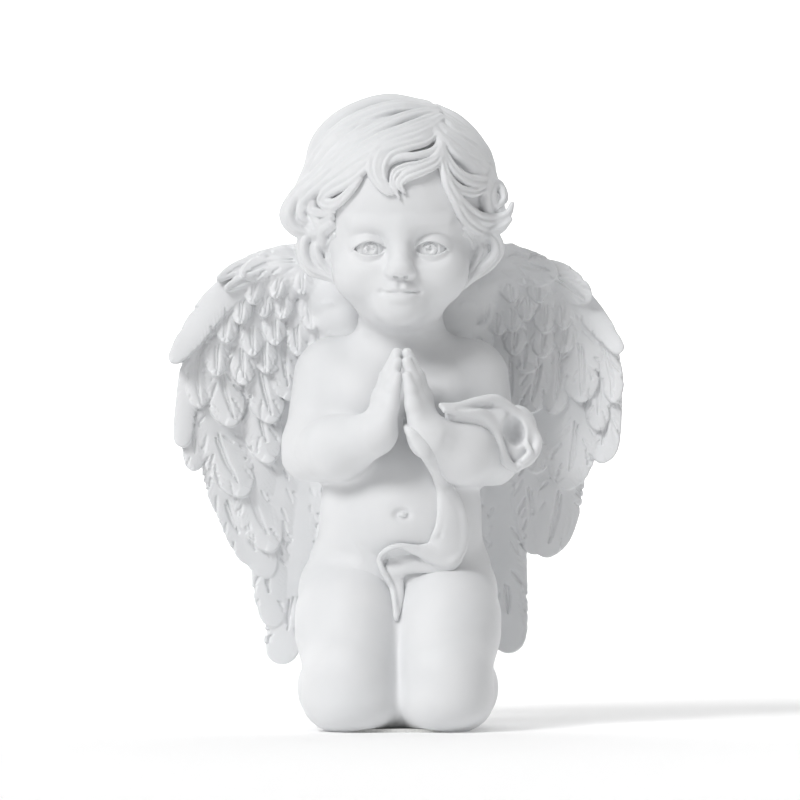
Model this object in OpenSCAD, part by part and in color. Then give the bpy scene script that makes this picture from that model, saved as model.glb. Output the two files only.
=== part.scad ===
// Kneeling praying angel figurine, cast in mineral-filled resin.
// It is glued up from separate castings: the body with its legs, the head, two arms, the sash in
// two lengths and two wings. Steel dowels carry the wings, a plug closes the core hole and a felt pad lies under all.
// The figure looks along -Y, so its own right side is at -X. Lengths below are for a 150 mm figurine.

/* [Figure] */
// Height of the whole figurine
figure_h = 150; // [100:10:300]
// Width of the belly
belly_w = 38; // [36:1:40]
// Distance of each shoulder joint from the middle
shoulder_x = 16.6; // [16:0.1:17.2]
// Distance of each knee from the middle
knee_x = 11.4; // [10.8:0.1:12]
// Half width of the skull under the hair
skull_r = 20; // [19:0.5:21]
// Size of one curl of hair
curl_r = 4.6; // [4:0.1:5]

/* [Wings] */
// Distance from the middle to the outermost feather tip
wing_reach = 55; // [52:1:58]
// Height of the top of the wings
wing_top = 115.5; // [113:0.5:117]
// Thickness of one long feather
feather_t = 2.6; // [2.2:0.1:3]
// How far the wings stand behind the back at half their reach
wing_back = 24; // [22:1:26]

/* [Joints] */
// Diameter of the steel dowels that carry a wing
dowel_d = 3; // [2:0.5:3]
// Length of a dowel
dowel_l = 12; // [10:1:12]
// Gap left for glue round a dowel, the neck spigot and the plug
glue_gap = 0.1; // [0.05:0.05:0.2]
// Diameter of the neck spigot
spigot_d = 10; // [8:1:11]

/* [Base] */
// Thickness of the felt pad
pad_t = 0.8; // [0.6:0.1:1.2]
// Diameter of the core hole in the body
core_d = 13; // [10:1:14]
// Thickness of the plug that closes the core hole
plug_t = 3; // [2:0.5:4]

/* [Hidden] */

design_h = 150;
unit = figure_h / design_h;
resin = "gainsboro";
right = -1;
left = 1;

// Landmarks of the figure
neck_z = 92;                // where the head casting meets the body
core_top = 56;              // blind end of the core hole
lean = 0.7;                 // the upper body leans this far to the figure's left
hip = [10.6, 2.5, 32];
knee = [knee_x, -20.6, 12];
calf = [13.6, -3, 9.4];
ankle = [10.5, 20, 5];
toe = [9, 28.5, 3.2];
shoulder = [shoulder_x, 3.4, 83];
elbow = [20.8, -2.5, 65.5];
forearm = [14.7, -14, 66];
wrist = [6.8, -20.6, 69.6];
palm_x = 1;                 // plane in which the two palms meet
finger_z = 79.5;            // root of the fingers
skull = [0.6, -1.5, 124];
chin = [0.6, -14.5, 101.4];
dowel_x = 8;
dowel_y = 6;
dowel_z = [74, 86];

// Shapes that repeat

module ball(centre, radii, fn = 20)
  translate(centre) scale(radii) sphere(1, $fn = fn);

module limb(a, ra, b, rb, fn = 18)
  hull() {
    translate(a) sphere(ra, $fn = fn);
    translate(b) sphere(rb, $fn = fn);
  }

// A point of the right-hand half carried to the given side
function on(side, p) = [side * p[0], p[1], p[2]];
function mid(a, b, t) = a + (b - a) * t;

// Body casting

module leg_mass(side) {
  limb(on(side, hip), 13, on(side, knee), 11.2, 22);
  limb(on(side, knee), 11.2, on(side, calf), 9.9, 22);
  limb(on(side, calf), 9.9, on(side, ankle), 5.6);
  limb(on(side, ankle), 5.4, on(side, toe), 3.6, 14);
}

module torso_mass() {
  ball([0, 3, 38.5], [21, 15.5, 14], 20);
  ball([lean, -1.8, 51], [belly_w / 2 + 0.2, 15.4, 17], 20);
  ball([lean, 1.5, 70], [18.2, 12, 18], 20);
  for (side = [right, left]) {
    ball([lean + side * 8.6, -2.6, 77.5], [9.8, 8.4, 10], 16);
    limb([lean + side * 4, 3, 85], 8, [lean + side * 15, 3.5, 84], 8.6);
    ball([lean + side * 9, 10, 74], [8.2, 5.4, 12], 16);
    ball([side * 8.8, 13.2, 26.5], [10.8, 11, 12.5]);
  }
  hull() {
    ball([lean, 2, 84], [12, 9, 8], 16);
    translate([lean, 2, neck_z + 1]) cylinder(h = 1, r = 8.8, $fn = 24);
  }
  // The casting is filled between the thighs, the knees and the shins
  hull()
    for (side = [right, left]) {
      ball(on(side, hip), [10, 10, 10], 16);
      ball(on(side, knee), [8.8, 8.8, 8.8], 16);
      ball(on(side, knee - [2.5, -2, 5.4]), [11, 11.5, 7.4], 16);
    }
  limb([0, -14, 8.2], 9, [0, 16, 7.8], 8.2);
}

module body_mass()
  difference() {
    union() {
      torso_mass();
      for (side = [right, left])
        leg_mass(side);
    }
    translate([-50, -50, -20]) cube([100, 100, 20]);
    translate([-50, -50, neck_z]) cube([100, 100, 30]);
  }

module dowel_holes(r)
  for (side = [right, left], z = dowel_z)
    translate([side * dowel_x, dowel_y, z]) rotate([-90, 0, 0]) cylinder(h = dowel_l, r = r, $fn = 24);

module body()
  color(resin) difference() {
    body_mass();
    translate([0.8, 1.5, neck_z - 8]) cylinder(h = 9, d = spigot_d + 2 * glue_gap, $fn = 32);
    dowel_holes(dowel_d / 2 + glue_gap);
    translate([0, 0, -1]) cylinder(h = core_top + 1, d = core_d, $fn = 32);
    translate([0, 0, -1]) linear_extrude(1 + pad_t) pad_outline(glue_gap);
  }

// Head casting: skull, face, neck and the hair in curls round it

module face_mass() {
  ball(skull, [skull_r, 22.5, 22.5], 28);
  ball([skull[0], -7, 111], [15.8, 15.5, 14.5], 24);
  ball([skull[0], 3, 112.3], [15.4, 15.6, 12.1], 24);
  for (side = [right, left])
    ball([skull[0] + side * 7.4, -11.5, 107.5], [8, 9, 8], 16);
  ball(chin, [7, 6, 5.6], 16);
  ball([skull[0], -22.6, 110], [2.6, 3, 2.6], 12);
}

// Curls sit in rings round the skull, and the rings leave the face open.
module curl_ring(z, r, count, open, size)
  for (i = [0 : count - 1])
    let (a = -90 + open / 2 + (360 - open) * (i + 0.5) / count,
         p = [skull[0] + r * cos(a), skull[1] + r * sin(a), z],
         drop = [2.4 * cos(a + 60), 2.4 * sin(a + 60), -3])
      limb(p, size, p + drop, size * 0.8, 9);

module hair_mass() {
  ball(skull + [0, 1.5, 2.8], [21.8, 24, 23.2], 28);
  curl_ring(138, 16.5, 9, 40, curl_r * 0.9);
  curl_ring(127, 20.6, 11, 120, curl_r);
  curl_ring(118.7, 21.5, 11, 132, curl_r);
  curl_ring(107.5, 15.8, 8, 150, curl_r * 0.9);
}

// The face shows through the opening in the hair cap.
module head()
  color(resin) {
    difference() {
      hair_mass();
      hull() {
        translate([skull[0], -30, 107]) sphere(13.5, $fn = 20);
        translate([skull[0], -30, 121]) sphere(14.5, $fn = 20);
      }
    }
    face_mass();
    translate([0.8, 1.5, neck_z]) cylinder(h = 14, r = 8.8, $fn = 24);
    translate([0.8, 1.5, neck_z - 7.5]) cylinder(h = 10, d = spigot_d, $fn = 32);
  }

// Arm castings, each with its half of the praying hands

module hand_mass(side)
  let (x = palm_x + side * 3.2)
    union() {
      hull() {
        translate([palm_x + side * 5.4, -20.6, 72]) scale([3.6, 4.8, 3.6]) sphere(1, $fn = 14);
        translate([x, -20.4, finger_z]) scale([2.4, 4.9, 2]) sphere(1, $fn = 14);
      }
      for (i = [0 : 3])
        let (y = -24 + 2.35 * i, reach = [6, 8.2, 9.4, 8.6][i])
          limb([x, y, finger_z], 1.8, [palm_x + side * 1.4, y + 0.5, finger_z + reach - 0.8], 1.4, 10);
      limb([palm_x + side * 3.8, -16, 74.5], 2, [palm_x + side * 1.6, -15.6, 81], 1.5, 10);
    }

module arm_mass(side) {
  translate([lean, 0, 0]) {
    limb(on(side, shoulder), 9.1, on(side, elbow), 7.1, 20);
    limb(on(side, elbow), 7.4, on(side, forearm), 7.3, 20);
    limb(on(side, forearm), 7.2, on(side, wrist), 5.2, 16);
  }
  hand_mass(side);
}

module arm(side)
  color(resin) difference() {
    arm_mass(side);
    body_mass();
    translate([palm_x - (side > 0 ? 20 : 0), -40, 60]) cube([20, 40, 40]);
  }

// Sash. One length lies over the left forearm and ends in a fold outside the elbow. The other comes
// from under that hand, down the belly and across the lap.

sash_over = [[9.5, -26, 76], [14, -24.5, 77], [20, -18, 77.6], [25.5, -12, 75], [30, -8.5, 70],
             [30.6, -7.5, 66], [28, -9, 62.5]];
sash_fall = [[3.5, -25, 71], [7.5, -23, 65], [10.5, -19.5, 60.5], [11.6, -19.4, 54], [12.2, -19.2, 48],
             [12.6, -19.5, 42.5], [9, -21, 39.5], [3, -21.5, 40], [-2, -21.5, 41], [-3.2, -22, 38],
             [-1, -23, 33], [0, -24, 28]];
sash_over_r = [1.2, 1.8, 2.3, 2.8, 3, 3, 2.2];
sash_fall_r = [1.6, 2.2, 2, 2.6, 3.6, 4, 3.6, 2.6, 2, 1.8, 1.8, 1.2];

module ribbon(points, radii)
  for (i = [0 : len(points) - 2])
    limb(points[i], radii[i], points[i + 1], radii[i + 1], 12);

module sash(points, radii)
  color(resin) difference() {
    ribbon(points, radii);
    body_mass();
    arm_mass(left);
    arm_mass(right);
  }

// Wings. t runs from the root of the wing, 0, along its leading edge to the outermost feather, 1,
// and on down the trailing edge to the innermost long feather, 2.

function edge_x(t) = lookup(t, [[0, 17], [0.25, 27], [0.6, 40], [1, wing_reach - 8.4]]);
function edge_z(t) = lookup(t, [[0, 103], [0.25, wing_top - 2.5], [0.6, wing_top - 8.5], [1, 95]]);
function tip_x(t) = lookup(t, [[0, wing_reach - 3.4], [0.25, wing_reach - 3.4], [0.4, wing_reach - 5],
                               [0.7, 39], [1, 29.5]]);
function tip_z(t) = lookup(t, [[0, 86], [0.25, 67], [0.4, 61], [0.7, 39], [1, 15.5]]);

// The wing is a shell: it stands off the back, comes forward toward its outer side and rolls over at the top.
function wing_y(x, z) =
  13 + (wing_back - 13) * sin(90 * min(max(x - 6, 0) / 16, 1))
  - 8.5 * pow(max(x - 18, 0) / 34, 1.4)
  - 5 * pow(max(z - 98, 0) / 18, 2);

module feather_disc(x, z, r, lift)
  translate([x, wing_y(x, z) - lift, z]) scale([r, feather_t / 2, r]) sphere(1, $fn = 12);

module feather(root, tip, w, lift)
  hull() {
    feather_disc(root[0], root[1], w * 0.35, lift);
    feather_disc(mid(root, tip, 0.5)[0], mid(root, tip, 0.5)[1], w * 0.5, lift);
    feather_disc(mid(root, tip, 1 - 0.3 * w / norm(tip - root))[0],
                 mid(root, tip, 1 - 0.3 * w / norm(tip - root))[1], w * 0.3, lift);
  }

// A row of feathers between share a and share b of the way from the leading edge to the tips
module feather_row(count, a, b, w, lift)
  for (i = [0 : count - 1])
    let (t = i / (count - 1),
         e = [edge_x(0.9 - 0.75 * t), edge_z(0.9 - 0.75 * t)],
         f = [tip_x(t), tip_z(t)])
      feather(mid(e, f, a), mid(e, f, b), w, lift);

module wing_mass() {
  feather_row(8, 0.1, 1, 12, 0);
  feather_row(7, 0.05, 0.72, 12, 1);
  feather_row(6, 0, 0.42, 12, 2);
  // The leading edge, and the root that sits against the back
  for (t = [0 : 0.25 : 0.75])
    hull() {
      feather_disc(edge_x(t), edge_z(t), 4, 0.6);
      feather_disc(edge_x(t + 0.25), edge_z(t + 0.25), 3.4, 0.6);
    }
  hull() {
    feather_disc(20.6, 97.5, 9.2, 0.2);
    feather_disc(18, 70, 7, 0);
    feather_disc(24, 45, 6, 0);
  }
  hull() {
    translate([dowel_x, 11.5, 88]) scale([5.5, 6, 5]) sphere(1, $fn = 14);
    translate([dowel_x, 12.5, 71]) scale([5, 5, 5]) sphere(1, $fn = 14);
    feather_disc(20.3, 96, 9, 0);
    feather_disc(18.4, 68, 6, 0);
  }
}

module wing(side)
  color(resin) difference() {
    mirror([side > 0 ? 0 : 1, 0, 0]) wing_mass();
    body_mass();
    dowel_holes(dowel_d / 2 + glue_gap);
  }

// Hardware and base

module wing_dowels() color("silver") dowel_holes(dowel_d / 2);

module base_plug()
  color("whitesmoke") translate([0, 0, pad_t]) cylinder(h = plug_t, d = core_d - 2 * glue_gap, $fn = 32);

module pad_outline(gap)
  hull()
    for (side = [right, left], y = [-20, 20])
      translate([side * 8, y]) circle(r = 6 + gap, $fn = 48);

// The pad is let into the underside, flush with the knees, shins and toes.
module felt_pad()
  color("lightgray") linear_extrude(pad_t) pad_outline(0);

scale(unit) body();
scale(unit) head();
scale(unit) arm(right);  // right_arm
scale(unit) arm(left);  // left_arm
scale(unit) sash(sash_over, sash_over_r);
scale(unit) sash(sash_fall, sash_fall_r);
scale(unit) wing(right);  // right_wing
scale(unit) wing(left);  // left_wing
scale(unit) wing_dowels();
scale(unit) base_plug();
scale(unit) felt_pad();
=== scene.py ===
"""Kneeling angel figurine in matte white cast resin: the looks of each casting, and the studio.

The castings are sculpted forms that flow into each other, so each is built up as clay is: balls,
limbs, strips and feathers are pressed together or carved out on a grid of distances to the surface,
and the skin of that clay becomes the piece's mesh. All clay sizes are in millimetres."""

import math

import bpy
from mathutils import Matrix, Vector
import numpy as np


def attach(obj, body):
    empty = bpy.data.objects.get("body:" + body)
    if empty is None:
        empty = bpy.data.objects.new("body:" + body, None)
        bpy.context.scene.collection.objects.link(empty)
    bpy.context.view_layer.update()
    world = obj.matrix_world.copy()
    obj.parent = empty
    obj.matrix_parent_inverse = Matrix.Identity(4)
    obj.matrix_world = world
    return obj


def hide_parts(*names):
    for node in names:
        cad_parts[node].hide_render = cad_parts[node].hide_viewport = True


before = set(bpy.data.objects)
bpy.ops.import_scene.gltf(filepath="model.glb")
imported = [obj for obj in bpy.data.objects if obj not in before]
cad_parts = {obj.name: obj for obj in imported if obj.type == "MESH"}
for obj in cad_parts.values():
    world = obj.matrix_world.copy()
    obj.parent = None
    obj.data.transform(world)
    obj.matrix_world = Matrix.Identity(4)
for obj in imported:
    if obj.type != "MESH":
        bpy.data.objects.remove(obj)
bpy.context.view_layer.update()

MM = 0.001
COARSE = 1.0
SEAM = 1.5                               # how far one casting runs on under its neighbour
JOIN = 2.5                               # how softly two castings flow together at their seam
FAR = 9                                  # the distance given to grains that are nowhere near a shape
RIGHT, LEFT = -1, 1                      # the figure's own sides; it looks along -Y
CENTRE = 0.7                             # the body leans this far to its left
FACE_X = 0.6                             # and so does the middle of the head

# ---------------------------------------------------------------- clay


def soft_min(a, b, blend):
    """The smaller of two distances, with the crease between them filled."""
    if blend <= 0:
        return np.minimum(a, b)
    h = np.maximum(blend - np.abs(a - b), 0) / blend
    return np.minimum(a, b) - h * h * blend / 4


class Clay:
    """A block of clay, held as the distance of each grain from the surface."""

    def __init__(self, low, high, grain):
        self.grain = grain * COARSE
        self.axes = [np.arange(a - 1, b + 1 + self.grain, self.grain, dtype=np.float32)
                     for a, b in zip(low, high)]
        self.field = np.full([len(a) for a in self.axes], FAR, np.float32)

    def like(self):
        """An empty block of the same size."""
        twin = Clay.__new__(Clay)
        twin.grain, twin.axes = self.grain, self.axes
        twin.field = np.full_like(self.field, FAR)
        return twin

    def near(self, low, high, pad):
        """The part of the block round a box: its slices, and the places of its grains."""
        cut = tuple(slice(np.searchsorted(axis, a - pad), np.searchsorted(axis, b + pad, "right"))
                    for axis, a, b in zip(self.axes, low, high))
        x, y, z = (axis[c] for axis, c in zip(self.axes, cut))
        return cut, (x[:, None, None], y[None, :, None], z[None, None, :])

    def press(self, shape, blend=0.0):
        """Adds a shape, and fills the crease to its neighbours to about a quarter of blend."""
        low, high, distance = shape
        cut, place = self.near(low, high, blend + 2 * self.grain)
        if self.field[cut].size:
            self.field[cut] = soft_min(self.field[cut], distance(*place), blend)

    def carve(self, shape, blend=0.0):
        """Takes a shape away, and rounds the edge that it leaves."""
        low, high, distance = shape
        cut, place = self.near(low, high, blend + 2 * self.grain)
        if self.field[cut].size:
            self.field[cut] = -soft_min(-self.field[cut], distance(*place), blend)

    def skin(self, name, most):
        """The surface of the clay as a piece, with at most so many triangles: one point in each
        grain that it passes through, then the flat parts thinned out."""
        f, inside = self.field, self.field < 0
        s = inside.astype(np.int8)
        count = sum(s[i:len(s) - 1 + i, j:s.shape[1] - 1 + j, k:s.shape[2] - 1 + k]
                    for i in (0, 1) for j in (0, 1) for k in (0, 1))
        cells = np.argwhere((count > 0) & (count < 8))
        number = np.full(count.shape, -1, np.int32)
        number[tuple(cells.T)] = np.arange(len(cells))
        corner = np.array([(i, j, k) for i in (0, 1) for j in (0, 1) for k in (0, 1)])
        value = np.stack([f[tuple((cells + c).T)] for c in corner], 1)
        total, hits = np.zeros((len(cells), 3)), np.zeros((len(cells), 1))
        for a in range(8):
            for b in range(a + 1, 8):
                if np.abs(corner[a] - corner[b]).sum() == 1:
                    va, vb = value[:, a], value[:, b]
                    hit = ((va < 0) != (vb < 0))[:, None]
                    t = (va / np.where(va == vb, 1, va - vb))[:, None]
                    total += hit * (corner[a] + t * (corner[b] - corner[a]))
                    hits += hit
        p = total / hits
        # One step along the slope brings each point onto the surface itself.
        weight = np.prod(np.where(corner[None] == 1, p[:, None], 1 - p[:, None]), 2)
        error = (weight * value).sum(1)
        slope = np.stack([sum(value[:, c] * (1 if corner[c][i] else -1)
                              * np.prod([np.where(corner[c][j] == 1, p[:, j], 1 - p[:, j])
                                         for j in range(3) if j != i], 0)
                              for c in range(8)) for i in range(3)], 1)
        p = p - np.clip(error / np.maximum((slope ** 2).sum(1), 1e-6), -1, 1)[:, None] * slope
        p = np.clip(p, 0, 1)
        origin = np.array([axis[0] for axis in self.axes])
        points = (origin + (cells + p) * self.grain) * MM
        quads = []
        for axis in range(3):
            one, two = [i for i in range(3) if i != axis]
            near = [slice(1, -1)] * 3
            near[axis] = slice(0, -1)
            far = list(near)
            far[axis] = slice(1, None)
            change = s[tuple(near)].astype(int) - s[tuple(far)]
            edge = np.argwhere(change != 0)
            way = change[tuple(edge.T)]
            at = edge + [0 if i == axis else 1 for i in range(3)]
            ring = []
            for da, db in ((0, 0), (1, 0), (1, 1), (0, 1)):
                cell = at.copy()
                cell[:, one] -= da
                cell[:, two] -= db
                ring.append(number[tuple(cell.T)])
            ring = np.stack(ring, 1)
            turn = (way > 0) == (axis != 1)
            ring[~turn] = ring[~turn][:, ::-1]
            quads.append(ring)
        piece = piece_from(name, points, np.concatenate(quads))
        triangles = 2 * len(piece.data.polygons)
        if triangles > most:
            bpy.ops.object.select_all(action="DESELECT")
            bpy.context.view_layer.objects.active = piece
            piece.select_set(True)
            thin = piece.modifiers.new("thin", "DECIMATE")
            thin.ratio = most / triangles
            bpy.ops.object.modifier_apply(modifier=thin.name)
        return piece


def piece_from(name, points, quads):
    """A smooth-shaded object made of points and of quads between them."""
    mesh = bpy.data.meshes.new(name)
    mesh.vertices.add(len(points))
    mesh.vertices.foreach_set("co", points.astype(np.float32).ravel())
    mesh.loops.add(quads.size)
    mesh.loops.foreach_set("vertex_index", quads.astype(np.int32).ravel())
    mesh.polygons.add(len(quads))
    mesh.polygons.foreach_set("loop_start", np.arange(0, quads.size, 4, dtype=np.int32))
    mesh.update(calc_edges=True)
    mesh.validate()
    mesh.polygons.foreach_set("use_smooth", np.ones(len(mesh.polygons), bool))
    piece = bpy.data.objects.new(name, mesh)
    bpy.context.scene.collection.objects.link(piece)
    return piece


def turned(angles):
    """The matrix that turns by angles in degrees about X, then Y, then Z."""
    x, y, z = (math.radians(a) for a in angles)
    rx = np.array([[1, 0, 0], [0, math.cos(x), -math.sin(x)], [0, math.sin(x), math.cos(x)]])
    ry = np.array([[math.cos(y), 0, math.sin(y)], [0, 1, 0], [-math.sin(y), 0, math.cos(y)]])
    rz = np.array([[math.cos(z), -math.sin(z), 0], [math.sin(z), math.cos(z), 0], [0, 0, 1]])
    return rz @ ry @ rx


def ball(centre, radii, turn=(0, 0, 0)):
    """An ellipsoid."""
    centre, radii = np.array(centre, float), np.ones(3) * radii
    axes = turned(turn)
    reach = np.sqrt(((axes * radii) ** 2).sum(1))

    def distance(x, y, z):
        x, y, z = x - centre[0], y - centre[1], z - centre[2]
        local = [axes[0, i] * x + axes[1, i] * y + axes[2, i] * z for i in range(3)]
        k0 = np.sqrt(sum((v / r) ** 2 for v, r in zip(local, radii)))
        k1 = np.sqrt(sum((v / r ** 2) ** 2 for v, r in zip(local, radii))) + 1e-6
        return (k0 * (k0 - 1) / k1).astype(np.float32)

    return centre - reach, centre + reach, distance


def limb(a, b, ra, rb):
    """A round limb from a to b that tapers from radius ra to rb."""
    a, b = np.array(a, float), np.array(b, float)
    run = b - a
    low = np.minimum(a - ra, b - rb)
    high = np.maximum(a + ra, b + rb)

    def distance(x, y, z):
        t = ((x - a[0]) * run[0] + (y - a[1]) * run[1] + (z - a[2]) * run[2]) / (run @ run)
        t = np.clip(t, 0, 1)
        d = np.sqrt((x - a[0] - t * run[0]) ** 2 + (y - a[1] - t * run[1]) ** 2
                    + (z - a[2] - t * run[2]) ** 2)
        return (d - ra - t * (rb - ra)).astype(np.float32)

    return low, high, distance


def smooth_path(points, steps):
    """A smooth curve through points, rows of any width, as steps points for each span."""
    p = np.array(points, float)
    p = np.vstack([2 * p[0] - p[1], p, 2 * p[-1] - p[-2]])
    out = []
    for i in range(1, len(p) - 2):
        for t in np.arange(steps) / steps:
            out.append(0.5 * (2 * p[i] + (p[i + 1] - p[i - 1]) * t
                              + (2 * p[i - 1] - 5 * p[i] + 4 * p[i + 1] - p[i + 2]) * t ** 2
                              + (3 * p[i] - p[i - 1] - 3 * p[i + 1] + p[i + 2]) * t ** 3))
    return np.array(out + [p[-2]])


def strip(path, normals, ridges=0.0, depth=0.0):
    """A strip with an oval section along a path whose rows are x, y, z, half width, half thickness.
    Its flat side faces along the normals, and ridges run along it, as in a lock or a fold."""
    path, normals = np.array(path, float), np.array(normals, float)
    middle, wide, thick = path[:, :3], path[:, 3], path[:, 4]
    tangent = np.gradient(middle, axis=0)
    tangent /= np.linalg.norm(tangent, axis=1)[:, None] + 1e-9
    across = np.cross(tangent, normals)
    across /= np.linalg.norm(across, axis=1)[:, None] + 1e-9
    facing = np.cross(across, tangent)
    reach = np.maximum(wide, thick)[:, None]
    low, high = (middle - reach).min(0), (middle + reach).max(0)

    def distance(x, y, z):
        out = np.full(np.broadcast_shapes(x.shape, y.shape, z.shape), FAR, np.float32)
        gap = 1.5                            # how far round the strip distances are worked out
        for i in range(len(path) - 1):
            a, b = middle[i], middle[i + 1]
            run = b - a
            r = max(reach[i, 0], reach[i + 1, 0]) + gap
            box = [slice(np.searchsorted(v, min(p, q) - r), np.searchsorted(v, max(p, q) + r, "right"))
                   for v, p, q in zip((x.ravel(), y.ravel(), z.ravel()), a, b)]
            if any(c.start >= c.stop for c in box):
                continue
            u, v, w = x[box[0]] - a[0], y[:, box[1]] - a[1], z[:, :, box[2]] - a[2]
            t = np.clip((u * run[0] + v * run[1] + w * run[2]) / (run @ run + 1e-9), 0, 1)
            u, v, w = u - t * run[0], v - t * run[1], w - t * run[2]
            side, face = across[i] + 0, facing[i]
            ds, df = across[i + 1] - across[i], facing[i + 1] - facing[i]
            s = u * (side[0] + t * ds[0]) + v * (side[1] + t * ds[1]) + w * (side[2] + t * ds[2])
            n = u * (face[0] + t * df[0]) + v * (face[1] + t * df[1]) + w * (face[2] + t * df[2])
            e = u * tangent[i][0] + v * tangent[i][1] + w * tangent[i][2]
            sa = wide[i] + t * (wide[i + 1] - wide[i])
            ta = thick[i] + t * (thick[i + 1] - thick[i])
            k0 = np.sqrt((s / sa) ** 2 + (n / ta) ** 2 + (e / ta) ** 2)
            k1 = np.sqrt((s / sa ** 2) ** 2 + (n / ta ** 2) ** 2 + (e / ta ** 2) ** 2) + 1e-6
            d = k0 * (k0 - 1) / k1
            if ridges:
                part = depth * np.clip(1.6 * sa / wide.max() - 0.5, 0, 1)
                d = d + part * ((1 + np.cos(2 * math.pi * ridges * s / sa)) / 2) ** 2
            cut = tuple(box)
            out[cut] = np.minimum(out[cut], d)
        return out

    return low, high, distance


def meeting(mine, others, blend):
    """My casting where it meets its neighbours: their common surface on my side of the seam, and a
    little more that sinks under theirs, so that the seam doesn't show."""
    theirs = np.minimum.reduce([o.field for o in others])
    whole = soft_min(mine.field, theirs, blend)
    past = mine.field - theirs
    out = mine.like()
    out.field = np.maximum(whole + 0.25 * np.clip(past, 0, 2) ** 2, past - SEAM)
    return out


# ---------------------------------------------------------------- body, legs and arms


def press_torso(clay):
    """Hips, belly, chest, shoulders and neck stump."""
    clay.press(ball((0.3, 3.0, 38.5), (20.8, 15.5, 14)))
    clay.press(ball((CENTRE, -1.8, 51), (19.2, 15.4, 17)), 6)              # belly
    clay.press(ball((CENTRE, 1.5, 70), (18.2, 11.5, 18)), 9)               # ribs
    for side in (RIGHT, LEFT):
        clay.press(ball((CENTRE + side * 8.6, -2.6, 77.5), (9.6, 8.2, 10)), 6)   # breast
        clay.press(limb((CENTRE + side * 4, 3, 85), (CENTRE + side * 15, 3.5, 84), 8, 8.6), 6)
        clay.press(ball((CENTRE + side * 9, 10, 74), (8, 5, 12)), 5)       # shoulder blade
        clay.press(ball((side * 8.8, 13.2, 26.5), (10.8, 11, 12.5)), 4)    # buttock
    clay.press(limb((CENTRE, 3.4, 84), (CENTRE, 1, 100), 10, 8.8), 7)      # neck
    clay.carve(limb((CENTRE, 17, 44), (CENTRE, 15.5, 84), 2.2, 1.6), 5)    # hollow of the spine
    clay.carve(limb((0, 26.5, 20), (0, 22, 36), 1.4, 0.6), 3)              # cleft
    # Navel
    clay.carve(ball((CENTRE + 0.3, -17.9, 51), (2.3, 1.9, 1.5)), 1.0)
    clay.press(ball((CENTRE + 0.5, -16.6, 50.9), (1.1, 0.9, 0.6)), 0.5)


def press_legs(clay, side):
    """The distances to one folded leg, with its knee and toes on the ground."""
    hip = (side * 10.6, 2.5, 32)
    knee = (side * 11.2, -20.4, 13)
    shin = (side * 13.4, -4, 9.6)
    ankle = (side * 10.6, 17, 8)
    leg = clay.like()
    leg.press(limb(hip, knee, 13.2, 11.2))
    leg.press(ball((side * 11.4, -9, 25.5), (12.3, 13, 12.5), (-38, 0, 0)), 5)     # thigh
    leg.press(ball((side * 10.6, -19, 6.5), (11.6, 12.6, 7.6)), 4)                 # under the knee
    leg.press(limb(knee, shin, 9.6, 9.8), 2)
    leg.press(limb(shin, ankle, 9.6, 6.2), 3)
    leg.press(limb(ankle, (side * 9.8, 24.5, 4.9), 5.6, 4.4), 4)                   # foot
    leg.press(ball((side * 10.2, 20.5, 10.6), (4.6, 4.6, 5)), 3)                   # heel
    leg.press(ball((side * 9.9, 25.6, 4.0), (5.7, 3.2, 3.8)), 2)                   # ball of the foot
    for out, back, size in ((6.2, 29.2, 2.1), (8.9, 29.4, 1.65), (11.1, 28.9, 1.55), (13.0, 28.2, 1.45),
                            (14.6, 27.2, 1.35)):                                   # toes
        leg.press(limb((side * (out * 0.9 + 0.8), 25.5, 3.4), (side * out, back, 2.6), size, size), 0.35)
    return leg.field


def press_figure(clay):
    """Torso and both legs."""
    press_torso(clay)
    legs = [press_legs(clay, side) for side in (RIGHT, LEFT)]
    clay.field = soft_min(clay.field, soft_min(legs[0], legs[1], 2.4), 3.2)
    # The casting is filled behind the knees, down to the flat underside
    clay.press(limb((0, -14, 8.2), (0, 12, 7.4), 9, 7.8), 3)
    clay.press(ball((0, 15.5, 3.0), (14, 12.5, 5.0)), 2.5)
    clay.press(ball((0, 6, 15), (8, 13, 6.5)), 3)
    # Folds where the belly rests on the thighs
    for side in (RIGHT, LEFT):
        clay.carve(limb((side * 16 + CENTRE, -13.5, 46.5), (side * 8 + CENTRE, -17.6, 42), 0.5, 0.5), 1.6)


ARMS = {
    RIGHT: dict(shoulder=(-15.8, 3.4, 83.2), elbow=(-20.2, -2.5, 66), middle=(-14, -14, 66.6),
                wrist=(-5.6, -21, 69.8)),
    LEFT: dict(shoulder=(17.4, 3.4, 82.8), elbow=(21.4, -2.5, 65), middle=(15.4, -14, 65.6),
               wrist=(7.6, -21, 69)),
}
PALMS = 1.0                              # the plane where the fingertips meet


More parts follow.
